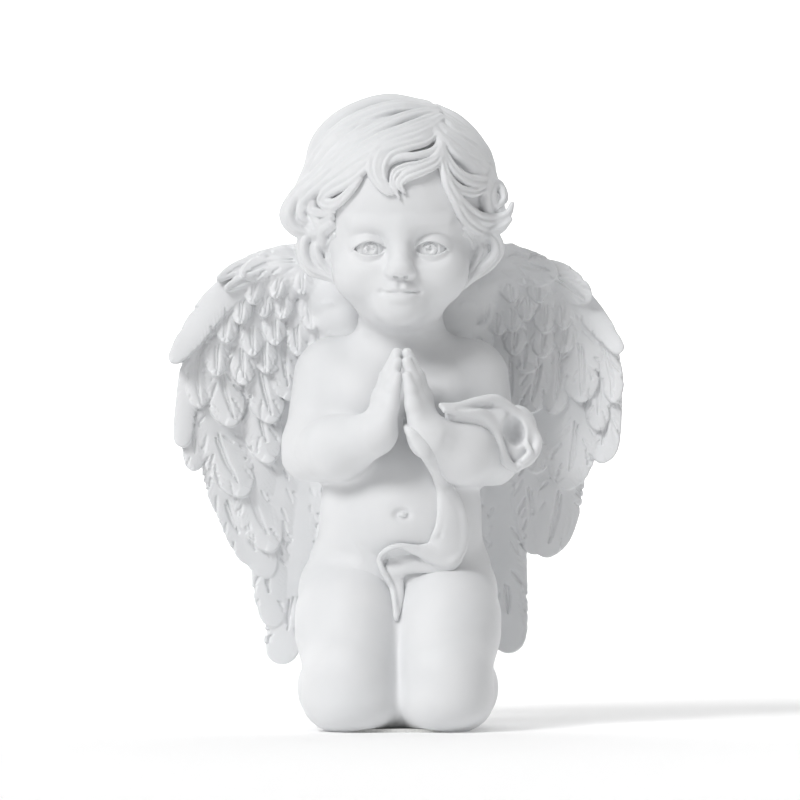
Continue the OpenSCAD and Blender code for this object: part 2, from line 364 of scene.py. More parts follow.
def press_arm(clay, side):
    """A bent arm and its half of the praying hands."""
    arm = ARMS[side]
    clay.press(limb(arm["shoulder"], arm["elbow"], 9.1, 7.0))
    clay.press(limb(arm["elbow"], arm["middle"], 7.4, 7.3), 3)
    clay.press(limb(arm["middle"], arm["wrist"], 7.1, 5.3), 3)
    # Hand: the palm leans on its partner, little finger to the front and thumb to the back
    heel = (PALMS + side * 4.2, -23.4, 70.5)
    clay.press(limb(heel, (PALMS + side * 2.6, -24.0, 77), 2.6, 2.0), 2)
    clay.press(limb((PALMS + side * 5.6, -19.5, 71), (PALMS + side * 5.0, -18.6, 78.5), 3.2, 2.3), 2.5)
    clay.press(limb((PALMS + side * 5.2, -21.5, 70.5), (PALMS + side * 3.9, -21.6, 78), 3.4, 2.2), 2)
    roots = ((2.5, -24.2, 76.4), (3.5, -22.3, 77.8), (4.5, -20.3, 78.6), (5.3, -18.4, 78.2))
    bends = ((1.9, -24.3, 80.4), (2.6, -22.7, 82.6), (3.2, -20.9, 84.0), (3.8, -19.1, 83.4))
    tips = ((1.15, -24.2, 83.4), (1.15, -22.9, 86.8), (1.2, -21.3, 88.8), (1.3, -19.8, 87.6))
    for root, bend, tip, size in zip(roots, bends, tips, (1.75, 1.85, 1.9, 1.8)):
        at = [(PALMS + side * p[0], p[1], p[2]) for p in (root, bend, tip)]
        clay.press(limb(at[0], at[1], size, size * 0.92), 0.9)
        clay.press(limb(at[1], at[2], size * 0.92, size * 0.72), 0.4)
    clay.press(limb((PALMS + side * 4.6, -16.4, 73), (PALMS + side * 2.4, -15.8, 81), 2.2, 1.6), 1.2)


def press_head(clay):
    """Skull, cheeks, chin and neck."""
    x = FACE_X
    clay.press(ball((x, -1, 125), (20.4, 22.3, 22.2)))
    clay.press(ball((x, -5.5, 111.5), (16.0, 16, 15.0)), 5)
    clay.press(limb((x, 0.5, 108), (CENTRE, 2.5, 88), 9.4, 9.2), 4)
    clay.press(ball((x, -9, 99.5), (9.5, 8.5, 5)), 4)                      # under the chin
    for side in (RIGHT, LEFT):
        clay.press(ball((x + side * 8.4, -13.6, 107.6), (7.4, 7.2, 6.8)), 4)    # cheek
    clay.press(ball((x, -16.6, 104), (6.6, 5.8, 5.4)), 3.5)
    clay.press(ball((x, -17.4, 99.8), (5.4, 4.5, 4.2)), 3.5)                    # chin


def cut_by(shape, plane):
    """The part of a shape on the negative side of a plane function."""
    low, high, distance = shape
    return low, high, lambda x, y, z: np.maximum(distance(x, y, z), plane(x, y, z))


def hoop(centre, radius, wire):
    """A ring that faces the front."""
    c = np.array(centre, float)
    reach = np.array((radius + wire, wire, radius + wire))

    def distance(x, y, z):
        round_it = np.sqrt((x - c[0]) ** 2 + (z - c[2]) ** 2) - radius
        return np.sqrt(round_it ** 2 + (y - c[1]) ** 2) - wire

    return c - reach, c + reach, distance


EYE = (7.1, -15.4, 113.4)       # out from the middle of the face, along and up


def press_eye(clay, side):
    """An eyeball with the ring of its iris and a pupil cut into it."""
    ex, ey, ez = FACE_X + side * EYE[0], EYE[1], EYE[2]
    clay.press(ball((ex, ey, ez), 4.8))
    clay.carve(hoop((ex - side * 0.15, ey - 4.45, ez - 0.15), 1.9, 0.3), 0.15)
    clay.carve(ball((ex - side * 0.15, ey - 4.95, ez - 0.1), (1.0, 0.85, 1.0)), 0.2)
    clay.press(ball((ex - side * 0.55, ey - 4.35, ez + 0.5), 0.5), 0.15)      # a glint left standing
    for turn in range(0, 360, 24):
        a = math.radians(turn + 7)
        inner, outer = (np.array((ex - side * 0.15 + r * math.cos(a), y, ez - 0.15 + r * math.sin(a)))
                        for r, y in ((1.15, ey - 4.66), (1.6, ey - 4.52)))       # a line of the iris
        clay.carve(limb(inner, outer, 0.13, 0.13), 0.1)


def lid_rim(ex, ez, way, rise):
    """The rim of an eyelid: an arc over the eye for way 1, and under it for way -1."""
    def past(x, y, z):
        return (rise * (1 - ((x - ex) / 4.0) ** 2) - way * (z - ez)) / 1.25

    return past


def press_face(clay):
    """A calm child's face, drawn on the usual proportions: eyes at half the height of the face and
    one eye apart, nose half way from them to the chin, mouth a third of the way below it."""
    x, eye_z = FACE_X, EYE[2]
    for side in (RIGHT, LEFT):
        ex, ey = x + side * EYE[0], EYE[1]
        clay.press(limb((x + side * 1.2, -20.9, 118.8), (x + side * 10.6, -18.6, 119.4), 1.3, 0.9), 3)
        clay.carve(ball((ex, -22.3, eye_z + 0.4), (5.2, 4.0, 3.5)), 2.6)
        upper_rim, lower_rim = lid_rim(ex, eye_z, 1, 1.75), lid_rim(ex, eye_z, -1, 1.45)
        clay.press(cut_by(ball((ex, ey, eye_z + 0.1), 5.8), upper_rim), 0.25)
        clay.press(cut_by(ball((ex, ey, eye_z - 0.1), 5.5), lower_rim), 0.4)
        clay.press(ball((x + side * 2.2, -22.0, 107.9), (1.5, 1.9, 1.25)), 1.0)     # nostril wing
    clay.press(ball((x, -19.2, 118.4), (3.4, 2.6, 3.0)), 3)                     # between the brows
    clay.press(limb((x, -20.2, 116), (x, -23.2, 109.6), 1.7, 1.9), 3)
    clay.press(ball((x, -23.3, 108.8), (2.3, 2.3, 1.9)), 1.6)
    for side in (RIGHT, LEFT):
        clay.carve(ball((x + side * 1.1, -23.3, 107.0), (0.7, 1.0, 0.55)), 0.4)
        clay.press(limb((x + side * 3.7, -20.6, 103.5), (x + side * 1.0, -22.3, 104.5), 0.6, 1.1), 0.9)
        clay.carve(ball((x + side * 4.6, -21.5, 103.3), (0.4, 0.5, 0.4)), 1.0)
    clay.press(limb((x - 2.0, -21.3, 101.9), (x + 2.0, -21.3, 101.9), 1.25, 1.25), 1.2)
    clay.press(ball((x, -21.9, 101.8), (2.3, 1.4, 1.25)), 0.9)
    for side in (RIGHT, LEFT):
        clay.carve(limb((x, -23.3, 103.1), (x + side * 4.0, -21.5, 103.2), 0.34, 0.26), 0.5)
    clay.carve(limb((x, -23.3, 106.4), (x, -23.6, 105.4), 0.4, 0.5), 0.9)


# ---------------------------------------------------------------- hair

SCALP = np.array((FACE_X, 0.8, 126.0))
SCALP_SIZE = np.array((21.3, 23.4, 22.4))
CROWN = 74                               # how high over the skull's middle the side locks start, in degrees


def on_scalp(x, z, lift=0.6):
    """The point of the hair's surface that shows at x, z from the front. The curls beside the face
    come forward of the scalp's own outline."""
    edge = 0.06 + 0.11 * min(max((130 - z) / 6, 0), 1)
    size = SCALP_SIZE + lift
    left = 1 - ((x - SCALP[0]) / size[0]) ** 2 - ((z - SCALP[2]) / size[2]) ** 2
    return x, SCALP[1] - size[1] * math.sqrt(max(left, edge)), z


def toward(turn, rise, lift=0.6):
    """The point of the hair's surface in a direction: turn from the front, positive to the
    figure's left, and rise above the level of the skull's middle, both in degrees."""
    a, e = math.radians(turn), math.radians(rise)
    way = np.array((math.cos(e) * math.sin(a), -math.cos(e) * math.cos(a), math.sin(e)))
    return SCALP + (SCALP_SIZE + lift) * way


def lock(clay, points, width, tip=0.3, root=0.6, ridges=1.0, depth=0.45, blend=0.5):
    """One lock of hair: it swells from its root and runs out to its tip."""
    points = np.array(points, float)
    way = np.linspace(0, 1, len(points))
    swell = width * np.interp(way, (0, 0.3, 0.65, 1), (root, 1, 0.95, tip))
    path = smooth_path(np.column_stack([points, swell, 0.52 * swell + 0.35]), 4)
    normals = (path[:, :3] - SCALP) / SCALP_SIZE ** 2
    normals /= np.linalg.norm(normals, axis=1)[:, None]
    normals[:, 1] -= 0.9 * np.clip((-4 - path[:, 1]) / 6, 0, 1) * np.clip((132 - path[:, 2]) / 8, 0, 1)
    clay.press(strip(path, normals, ridges, depth), blend)


FRONT_LOCKS = [
    # swept from the parting to the figure's right: points x, z, then half width and strands
    (((7, 147.6), (-3, 148.8), (-12.5, 145.4), (-18.2, 140.2), (-20.6, 134.6), (-21.2, 129)), 3.3, 1),
    (((8.5, 146.6), (-1, 147), (-10.5, 143.4), (-17, 138.2), (-21, 132), (-23.4, 126.5),
      (-22.2, 123)), 3.2, 1.5),
    (((9.3, 146), (2.5, 144.8), (-6, 141), (-13, 136.4), (-19, 131), (-24, 126.4), (-26.4, 121.6),
      (-24, 117.9), (-19.6, 117.2), (-15.8, 119.4)), 2.4, 1),
    (((9.6, 145), (3.5, 142.4), (-4.6, 138.8), (-11.4, 134.4), (-17.4, 129.6), (-22.6, 125.2),
      (-23.2, 121), (-19, 119.4), (-15.6, 121.4)), 2.3, 1),
    (((9.8, 144), (5, 139.6), (-2.4, 137.2), (-8.8, 133.6), (-14.8, 129.6), (-20.4, 126), (-20.2, 122.8),
      (-16.6, 122.2), (-13.8, 124.4)), 2.0, 1),
    (((-5.6, 134.6), (-8.6, 131.6), (-12, 129.2), (-16.4, 126.8), (-17.6, 124.6), (-14.6, 124.2),
      (-10.8, 127.4), (-8.8, 129.8)), 1.9, 1),
    # forelock, with open hollows between its strands
    (((9.9, 144.2), (6, 141.4), (1.4, 139.6), (-2.8, 137.8), (-5.4, 134.4), (-5.6, 130.8), (-3.8, 127.8),
      (-2.4, 126.4)), 2.1, 1),
    (((10.1, 142.4), (6.8, 138.8), (2.2, 137.4), (-1.8, 135.8), (-3.6, 132.8), (-3.2, 129.4),
      (-1.4, 126.4)), 1.5, 1),
    (((10.3, 140), (8.4, 136.6), (4.2, 135.2), (0.2, 134.8), (-2.4, 133), (-2.6, 130.6)), 1.1, 0),
    (((10.6, 137.6), (8.8, 133.6), (5, 131.6), (2, 130.4), (0.4, 128.6), (1.4, 126.8)), 1.7, 1),
    (((10.4, 138.8), (9, 135), (5.4, 133.2), (2, 132.6), (-0.6, 131.2), (-1.2, 128.6), (0.2, 125.6)), 1.3, 1),
    # swept from the parting to the figure's left
    (((9.2, 147), (13.4, 144.4), (17.4, 140.8), (20.2, 137), (21.6, 133.4)), 2.8, 1.5),
    (((10.3, 144.6), (13.2, 142.4), (17.4, 140), (21, 136.8), (22.4, 133.4)), 2.0, 1),
    (((10.6, 142), (13.6, 139.6), (17.6, 137.4), (21.4, 134.2), (23, 130.6)), 2.0, 1),
    (((10.9, 139), (14, 135.8), (18, 133.6), (21.8, 131.8), (23.8, 128.6)), 2.1, 1),
    (((10.9, 136), (13.4, 131.8), (17, 129.6), (20.6, 129.4), (24, 128.6), (25.2, 125.6),
      (23.6, 123.8)), 1.9, 1),
    (((10.4, 138), (11, 131.8), (14, 127.8), (17.6, 126.8), (20.4, 127.8), (21.8, 126.4),
      (20.6, 124.8)), 1.5, 1),
    (((10.2, 134.6), (12, 128), (15.2, 123.8), (18.8, 121.2), (22.6, 120.6), (26, 122), (27, 124.4)), 1.9, 1),
    (((11.6, 129.6), (14.2, 123.6), (16.6, 120), (20.4, 117.9), (24.2, 118.4), (26.6, 120.6)), 1.9, 1),
]
# Curls beside the cheeks
CHEEK_LOCKS = [
    (((-15.4, 121), (-19.6, 118.4), (-22.4, 115.8), (-22.4, 111.6), (-20.4, 108.6), (-16.6, 107),
      (-13.4, 105.6)), 1.8, 1),
    (((-15, 119), (-18, 117), (-19.6, 113.8), (-18.4, 110.2), (-15.4, 107.4), (-12.2, 104.4)), 1.7, 1),
    (((-14.6, 117), (-16, 114), (-15.8, 110.6), (-13.8, 107.4)), 1.4, 1),
    (((16.4, 120), (19.8, 118.2), (23, 115.8), (23.4, 112.6), (20.8, 109.4), (17.8, 107),
      (15.2, 104.4)), 2.0, 1),
    (((15.6, 119), (18.6, 116.4), (20, 113.4), (18.6, 110.2), (16.4, 107.4)), 1.8, 1),
    (((15.2, 117.4), (17, 114.4), (16.6, 111.2), (15.2, 108.6)), 1.4, 1),
]


def press_hair(clay):
    """All the hair: long locks from the parting, curls round the back, and the front as listed."""
    clay.press(ball(SCALP, SCALP_SIZE))
    clay.carve(ball((1.2, -25, 112.5), (14.6, 14, 19.5)), 1.5)             # the face
    chance = np.random.default_rng(7)
    # Long locks from the parting and the crown to the sides and the back
    for turn in range(-118, 130, 14):
        if -48 < turn < 62:
            continue
        start = toward(30 + 0.1 * turn, CROWN - 0.05 * abs(turn))
        wave = chance.uniform(-7, 7)
        path = [start] + [toward(turn * f + wave * math.sin(3 * f), CROWN - 62 * f, 0.5)
                          for f in (0.55, 0.72, 0.86, 1.0, 1.12)]
        lock(clay, path, chance.uniform(3.2, 3.8), tip=0.4)
    for turn in np.arange(130, 232, 15):
        path = [toward(150 + (turn - 180) * 0.3, 80)] + [
            toward(turn + chance.uniform(-4, 4), rise, 0.5) for rise in (66, 50, 34, 18, 6)]
        lock(clay, path, chance.uniform(3.4, 4.0), tip=0.5)
    # Curls in three rows over the back of the head and the nape
    for rise, count, reach in ((12, 12, 100), (-12, 12, 104), (-34, 9, 94)):
        for i in range(count):
            turn = 180 + reach * (2 * i / (count - 1) - 1) + chance.uniform(-4, 4)
            hand = 1 if (i + rise) % 2 else -1
            high = rise + chance.uniform(-3, 3)
            sweep = [(0, 16, 0), (3, 8, 0.8), (9, 0, 1.4), (15, -9, 1.6), (11, -18, 1.8), (3, -19, 1.6),
                     (-1, -12, 1.2)]
            path = [toward(turn + hand * a, high + b, c) for a, b, c in sweep]
            lock(clay, path, chance.uniform(2.6, 3.2), tip=0.35)
    # What the curls over and beside the cheeks lie on
    for x, y, z, size in ((-20.6, -2, 122.2, (5.0, 6, 5.4)), (20.8, -2, 122.4, (5.0, 6, 5.0)),
                          (-18.0, -3.4, 112.4, (4.4, 5, 5.6)), (18.4, -3.4, 112.6, (4.4, 5, 5.6))):
        clay.press(ball((x, y, z), size), 1.5)
    for points, width, ridges in FRONT_LOCKS:
        path = [on_scalp(x, z, 1.3 if ridges else 0.9) for x, z in points]
        lock(clay, path, width, ridges=ridges, blend=0.55)
    for points, width, ridges in CHEEK_LOCKS:
        lock(clay, [on_scalp(x, z, 0.6) for x, z in points], width, ridges=ridges, blend=0.55)


# ---------------------------------------------------------------- sash

def front_of(clay, x, z):
    """Where the front of the clay is, at x, z."""
    i, k = (int(np.clip(round((v - axis[0]) / clay.grain), 0, len(axis) - 1))
            for v, axis in ((x, clay.axes[0]), (z, clay.axes[2])))
    column = clay.field[i, :, k]
    hit = np.argmax(column < 0)
    return float(clay.axes[1][hit]) if column[hit] < 0 else 0.0


def cloth(clay, figure, points, ridges=0.0, depth=0.0, blend=0.8, y=None):
    """A fold of cloth that lies on the figure: points x, z, lift, half width, half thickness."""
    rows = []
    for i, (x, z, lift, wide, thick) in enumerate(points):
        depth_y = front_of(figure, x, z) - lift if y is None else y[i]
        rows.append((x, depth_y, z, wide, thick))
    path = smooth_path(rows, 5)
    normals = np.tile((0.0, -1.0, 0.12), (len(path), 1))
    normals[:, 0] = np.clip(path[:, 0] / 26, -0.9, 0.9)
    clay.press(strip(path, normals, ridges, depth), blend)


def press_sash_fall(clay, figure):
    """The sash from under the left hand, down the belly and across the lap to its hanging tip."""
    # the back layer: a hollow that narrows to the tail
    cloth(clay, figure, ((14.2, 40.4, 0.4, 1.4, 0.9), (12, 38.8, 0.6, 1.6, 0.9), (8.4, 38.8, 0.7, 1.9, 0.9),
                         (4.4, 39.4, 0.8, 2.4, 0.9), (1.2, 39.4, 0.8, 3.0, 0.9), (-0.8, 37.4, 0.8, 2.6, 0.9),
                         (-0.2, 34.4, 1.0, 1.7, 0.9), (0.2, 31, 1.1, 1.2, 0.9), (-0.2, 28, 1.0, 0.8, 0.8),
                         (-0.4, 26.4, 0.8, 0.5, 0.6)))
    clay.carve(ball((-1.0, front_of(figure, -1, 39.6) - 3.2, 40.0), (2.9, 2.2, 1.9), (0, 20, 0)), 0.8)
    # its rolled rim
    cloth(clay, figure, ((4.4, 43.0, 1.6, 0.7, 0.7), (0.6, 43.5, 1.8, 0.75, 0.8),
                         (-2.4, 42.6, 1.9, 0.75, 0.9), (-4.2, 40.6, 1.9, 0.75, 0.9),
                         (-3.8, 38.2, 1.9, 0.75, 0.9), (-2.5, 35.8, 1.8, 0.8, 0.9),
                         (-1.2, 33.2, 1.7, 0.8, 0.9), (-0.7, 30, 1.6, 0.7, 0.8),
                         (-0.5, 27, 1.2, 0.5, 0.6)), blend=0.6)
    # the front layer: the fall that turns in to the middle, its lower edge standing off the lap
    cloth(clay, figure, ((1.6, 73.6, -0.8, 0.5, 0.6), (2.4, 71, -0.3, 1.0, 0.9),
                         (4.6, 68.4, 0.2, 1.6, 1.0), (7.2, 64.8, 0.3, 1.9, 1.1),
                         (9.4, 60.6, 0.3, 1.75, 1.1), (10.7, 56.9, 0.6, 1.9, 1.1),
                         (11.8, 52.9, 0.9, 2.8, 1.2),
                         (12.3, 48.7, 1.2, 3.8, 1.3), (11.8, 45.1, 1.5, 4.3, 1.3), (9.6, 42.4, 1.8, 3.2, 1.1),
                         (6.4, 42.2, 1.8, 1.9, 1.0), (3.4, 42.7, 1.7, 1.1, 0.8),
                         (0.6, 43.3, 1.5, 0.5, 0.6)), blend=0.4)
    # the outer edge is rolled, and a crease runs into the turn
    cloth(clay, figure, ((12.6, 57, 1.0, 0.8, 0.9), (14.6, 53, 1.4, 1.0, 1.1), (15.4, 49, 1.8, 1.1, 1.2),
                         (15.5, 45, 2.1, 1.2, 1.3), (14.6, 41.6, 2.3, 1.2, 1.3), (12.6, 39.4, 2.3, 1.1, 1.1),
                         (9.6, 39.6, 2.2, 0.8, 0.8), (6.4, 40.8, 2.0, 0.6, 0.6)), blend=1.6)
    crease = [(x, front_of(figure, x, z) - 3.1, z) for x, z in
              ((10.9, 52), (10.9, 48.6), (10, 45.6), (8, 43.6), (5.6, 43.2))]
    for a, b in zip(crease, crease[1:]):
        clay.carve(limb(a, b, 0.45, 0.45), 0.8)


def press_sash_over(clay, figure):
    """The sash over the left forearm, with an open fold that hangs outside the elbow."""
    clay.press(ball((27.4, -6.4, 69.4), (5.6, 5.6, 7.4), (0, 14, 0)))
    clay.press(limb((13, -18.5, 74.4), (23, -12, 73), 2.0, 3.4), 2)
    # two folds along the top of the forearm
    cloth(clay, figure, ((10.2, 76.6, 0, 0.7, 0.7), (14, 76.4, 0, 1.0, 0.9), (18.4, 77.4, 0, 1.2, 1.0),
                         (22.8, 77.9, 0, 1.4, 1.2), (25.6, 76.4, 0, 1.5, 1.3), (28.6, 73.8, 0, 1.5, 1.4),
                         (31.4, 70.9, 0, 1.4, 1.4), (32.9, 68.4, 0, 1.2, 1.3), (32.4, 65.8, 0, 1.3, 1.3),
                         (30.8, 63.6, 0, 1.3, 1.2), (28.0, 62, 0, 1.1, 1.0)), 0.0, 0.0, 1.0,
          (-22.2, -19.4, -16.6, -13.6, -11.4, -9.6, -8.6, -8.8, -9.4, -9.8, -10))
    cloth(clay, figure, ((11, 75.6, 0, 0.8, 0.7), (15.2, 75.2, 0, 1.1, 0.9), (18.8, 75.1, 0, 1.4, 1.1),
                         (21.4, 73.2, 0, 1.5, 1.3), (23.2, 69.9, 0, 1.4, 1.4), (24.4, 66, 0, 1.4, 1.3),
                         (25.8, 63.2, 0, 1.3, 1.1), (27.8, 61.5, 0, 0.9, 0.8)), 0.0, 0.0, 0.8,
          (-22.4, -20, -18, -15.6, -13.8, -12.8, -11.8, -10.6))
    cloth(clay, figure, ((30.4, 67.6, 0, 0.7, 0.7), (31.2, 65.4, 0, 0.8, 0.8), (29.6, 63.6, 0, 0.7, 0.7)),
          0.0, 0.0, 0.6, (-11, -11.2, -11.2))
    clay.carve(ball((27.7, -14, 70.4), (2.7, 6.2, 3.9), (0, -14, 0)), 1.0)
    clay.carve(limb((14.4, -21.5, 76.0), (22, -15.2, 76.6), 0.5, 0.75), 0.7)


# ---------------------------------------------------------------- wings

# Feathers of a wing: level, points from root to tip (distance from the middle, height), half widths,
# and on the rim how far the outer edge turns back. Under level 1 they are long blades that show on both
# sides. The others lie on them in rows, in front and behind, the first two as a web under the small ones.
RIGHT_WING = [
    (2.0, ((19, 107), (21, 98), (22, 88)), (4.5, 6.5, 6)),
    (2.0, ((30, 105), (31, 98), (31, 90)), (4, 6, 5.5)),
    (0.4, ((12.6, 84), (13.4, 70), (14.6, 57)), (3.2, 3.8, 3.4)),
    (1.4, ((12.4, 94), (12.8, 84), (13.4, 75)), (3.0, 3.7, 3.4)),
    (1.8, ((16.6, 96), (17.8, 86), (18.6, 78)), (3.2, 3.9, 3.6)),
    (2.2, ((21.4, 98), (22.8, 90), (23.2, 83.6)), (3.2, 3.9, 3.6)),
    (0, ((15.5, 78), (18, 58), (20, 44)), (4.5, 4.6, 3.6)),
    (0, ((20.5, 82), (23, 52), (25.6, 33), (27.8, 18.9)), (5, 5.3, 5.3, 4.7)),
    (0.35, ((26, 80), (29.3, 52), (31, 36), (30.2, 26.7)), (5, 5, 4.4, 3.6)),
    (0.7, ((30, 80), (35, 57), (35, 45), (32.2, 38.4)), (5, 5.4, 4.6, 3.7)),
    (0.2, ((36, 84), (42.6, 63), (40, 51), (36.2, 41.5)), (5, 4.5, 3.9, 3.2)),
    (1.1, ((32, 84), (36.4, 63), (34.2, 52), (31.6, 45.4)), (5, 5.2, 5, 4.3)),
    (1.6, ((38, 90), (43.4, 74), (41.6, 65), (38.8, 59.2)), (4.5, 5.5, 5.6, 4.9)),
    (1.9, ((33, 94), (34, 81), (33, 73), (31.8, 66.9)), (4, 4.7, 4.8, 4.4)),
    (1.0, ((44, 92), (47.6, 79), (49, 70), (49, 63.4)), (3, 3.3, 3.1, 2.6)),
    (1.5, ((43.4, 98), (48.8, 87), (50.8, 77), (51.7, 69)), (3, 3.1, 2.7, 2.3), 0.25),
    (2.3, ((37, 99), (42.4, 89), (42.5, 82), (40.8, 75.7)), (3.8, 4.5, 4.6, 4.3)),
    (2.5, ((32, 100), (33.4, 89), (32.6, 82.4), (31.2, 76.5)), (4, 4.8, 4.8, 4.4)),
    (2.6, ((23.6, 103), (26.4, 95), (27, 88.6), (26.3, 81.9)), (3.8, 4.6, 4.6, 4.2)),
    (1.8, ((42, 98), (46.6, 92), (48.2, 85), (47.8, 78.6)), (2.6, 3, 3, 2.6)),
    (3.0, ((40.6, 97), (43.2, 91.4), (43.5, 86.6)), (2.6, 3.1, 3.0)),
    (3.0, ((35.8, 96), (37.3, 90), (37.1, 84.5)), (2.8, 3.2, 3.1)),
    (3.0, ((30.8, 97), (31.9, 91.6), (31.8, 87.2)), (2.6, 3.0, 2.9)),
    (3.4, ((38, 102), (40.8, 98), (41.1, 94.3)), (2.3, 2.8, 2.8)),
    (3.4, ((34.2, 99), (35.2, 95), (35, 91.3)), (2.4, 2.9, 2.9)),
    (3.5, ((28.8, 101.5), (29.7, 97.4), (29.6, 93.9)), (2.4, 2.9, 2.9)),
    (3.4, ((23.6, 99.5), (24.2, 95), (24, 91.3)), (2.4, 2.9, 2.9)),
    (3.3, ((19, 98), (19.6, 93.6), (19.4, 90)), (2.4, 2.9, 2.9)),
    (3.8, ((34.6, 106), (37.3, 101.8), (37.7, 98.7)), (2.1, 2.6, 2.6)),
    (3.8, ((29.6, 106), (31.7, 102.8), (32, 100.2)), (2.1, 2.6, 2.5)),
    (3.8, ((25.4, 106), (27.2, 102.8), (27.5, 99.9)), (2.2, 2.7, 2.6)),
    (3.7, ((20.4, 105), (21.3, 100.8), (21, 97.4)), (2.3, 2.7, 2.6)),
    (4.1, ((31, 109), (33.9, 106), (34.6, 103.3)), (2.0, 2.6, 2.5)),
    (4.0, ((26, 109), (28.3, 107), (29, 104.6)), (2.0, 2.4, 2.4)),
    (3.6, ((35, 108.5), (43.6, 101.4), (49.8, 93), (53.2, 88.4)), (3.4, 3.7, 3.1, 2.0), 0.45),
    (3.5, ((14.8, 97), (15.2, 92.6), (15, 89)), (2.3, 2.8, 2.7)),
    (3.6, ((15.4, 104), (16, 100), (15.8, 96.4)), (2.2, 2.7, 2.6)),
    (3.9, ((16.6, 110.5), (17.2, 107.4), (17, 103.8)), (2.2, 2.7, 2.6)),
    (4.1, ((21.4, 111.6), (22.8, 108.4), (23, 105.6)), (2.0, 2.5, 2.4)),
    (3.7, ((22, 111.6), (31, 111.8), (38.6, 109.4), (42.6, 107.2)), (2.4, 2.7, 1.9, 1.0)),
    (3.9, ((22, 108.6), (29, 109.2), (35.4, 107.4), (40.6, 104.9)), (2.4, 2.7, 2.1, 1.1)),
    (4.3, ((18, 109.2), (25, 111), (31, 110.4), (35.2, 108.8)), (3.6, 4.0, 3.6, 2.6)),
    (3.4, ((18, 112), (25, 113.2), (31.5, 112.4)), (2.2, 2.6, 2.0)),
]
LEFT_WING = [
    (2.0, ((19, 107), (21, 98), (22, 88)), (4.5, 6.5, 6)),
    (2.0, ((30, 105), (31, 98), (31, 90)), (4, 6, 5.5)),
    (0.4, ((12.6, 84), (13.4, 70), (14.6, 57)), (3.2, 3.8, 3.4)),
    (1.4, ((12.4, 94), (12.8, 84), (13.4, 75)), (3.0, 3.7, 3.4)),
    (1.8, ((16.6, 96), (17.8, 86), (18.6, 78)), (3.2, 3.9, 3.6)),
    (2.2, ((21.4, 98), (22.8, 90), (23.2, 83.6)), (3.2, 3.9, 3.6)),
    (0, ((15.5, 78), (18, 58), (20, 42)), (4.5, 4.6, 3.8)),
    (0, ((21.5, 84), (24.4, 56), (25.2, 39), (26.6, 21.8)), (5.5, 6.2, 6, 4.8)),
    (0.5, ((28, 84), (30.6, 66), (31.6, 53), (32.8, 43.8)), (4.5, 4.7, 4.2, 3.2)),
    (0.9, ((34, 84), (38.6, 63), (38.2, 54), (36.4, 45.4)), (5, 6, 6.2, 5.5)),
    (1.3, ((28, 90), (31, 79), (32.4, 71), (33.2, 64)), (4.5, 4.8, 4.5, 3.7)),
    (1.7, ((40, 89), (42.5, 77), (42.3, 69), (41.2, 62)), (4.6, 5.6, 5.8, 5.6)),
    (1.0, ((46, 94), (50, 81), (50.2, 73), (49.3, 66.4)), (3.2, 3.6, 3.6, 3.7)),
    (1.6, ((43, 97), (46.8, 88), (48, 80), (48, 73.4)), (3, 3.3, 3.2, 2.8)),
    (2.0, ((45, 99), (49.4, 91), (51.5, 83), (51.7, 79.5)), (3, 3.1, 2.7, 2.3)),
    (1.9, ((37, 101), (38.5, 91), (38.3, 83), (37.6, 77.4)), (3.5, 3.8, 3.6, 3.0)),
    (2.4, ((40, 103), (42.5, 95), (43.8, 88.4), (43.9, 81.7)), (3.8, 4.6, 4.7, 4.4)),
    (2.5, ((34, 100), (34.4, 92), (33.4, 85), (32.3, 79)), (3.6, 4.3, 4.5, 4.3)),
    (2.2, ((25.6, 100), (26.6, 92), (27, 84), (27, 79)), (3.4, 4, 4, 3.6)),
    (3.0, ((27.4, 98), (28.2, 94.6), (28.1, 91.6)), (2.5, 2.9, 2.9)),
    (3.0, ((34, 99), (35, 94), (34.8, 91)), (2.6, 3.0, 2.9)),
    (3.0, ((39.2, 99.5), (40.2, 95), (40, 92)), (2.4, 2.8, 2.7)),
    (3.4, ((22.8, 102), (24.4, 98.8), (24.3, 96.2)), (2.3, 2.8, 2.7)),
    (3.4, ((29.6, 105), (30.8, 102), (30.8, 99.6)), (2.2, 2.7, 2.6)),
    (3.4, ((34, 104), (35.4, 100), (35.3, 96.8)), (2.3, 2.8, 2.8)),
    (3.2, ((38, 104), (39.6, 100.4), (39.7, 97.6)), (2.2, 2.6, 2.6)),
    (3.5, ((26, 102.6), (27.6, 99.6), (27.6, 97)), (2.2, 2.7, 2.6)),
    (3.8, ((24.6, 108), (26.8, 105.8), (27.2, 103.6)), (2.0, 2.5, 2.4)),
    (3.8, ((30.6, 108), (33, 106), (33.6, 103.6)), (2.0, 2.5, 2.5)),
    (3.7, ((20, 105), (21.2, 101.6), (21, 98.6)), (2.2, 2.6, 2.6)),
    (3.2, ((19.4, 96.4), (20.2, 92.6), (20, 90)), (2.4, 2.8, 2.7)),
    (3.0, ((42, 104.5), (47.2, 97.6), (52.2, 91)), (2.8, 3.1, 2.1), 0.25),
    (3.6, ((33, 108.4), (38.4, 107.2), (43.4, 103.8)), (3.8, 4.0, 3.4)),
    (3.5, ((14.8, 97), (15.2, 92.6), (15, 89)), (2.3, 2.8, 2.7)),
    (3.6, ((15.4, 104), (16, 100), (15.8, 96.4)), (2.2, 2.7, 2.6)),
    (3.9, ((16.6, 110.5), (17.2, 107.4), (17, 103.8)), (2.2, 2.7, 2.6)),
    (4.2, ((19, 109.4), (27.5, 110.6), (34.3, 109)), (3.8, 4.3, 4.1)),
    (3.4, ((20, 112.4), (26.4, 113.4), (30.2, 112.8)), (2.2, 2.5, 1.8)),
]


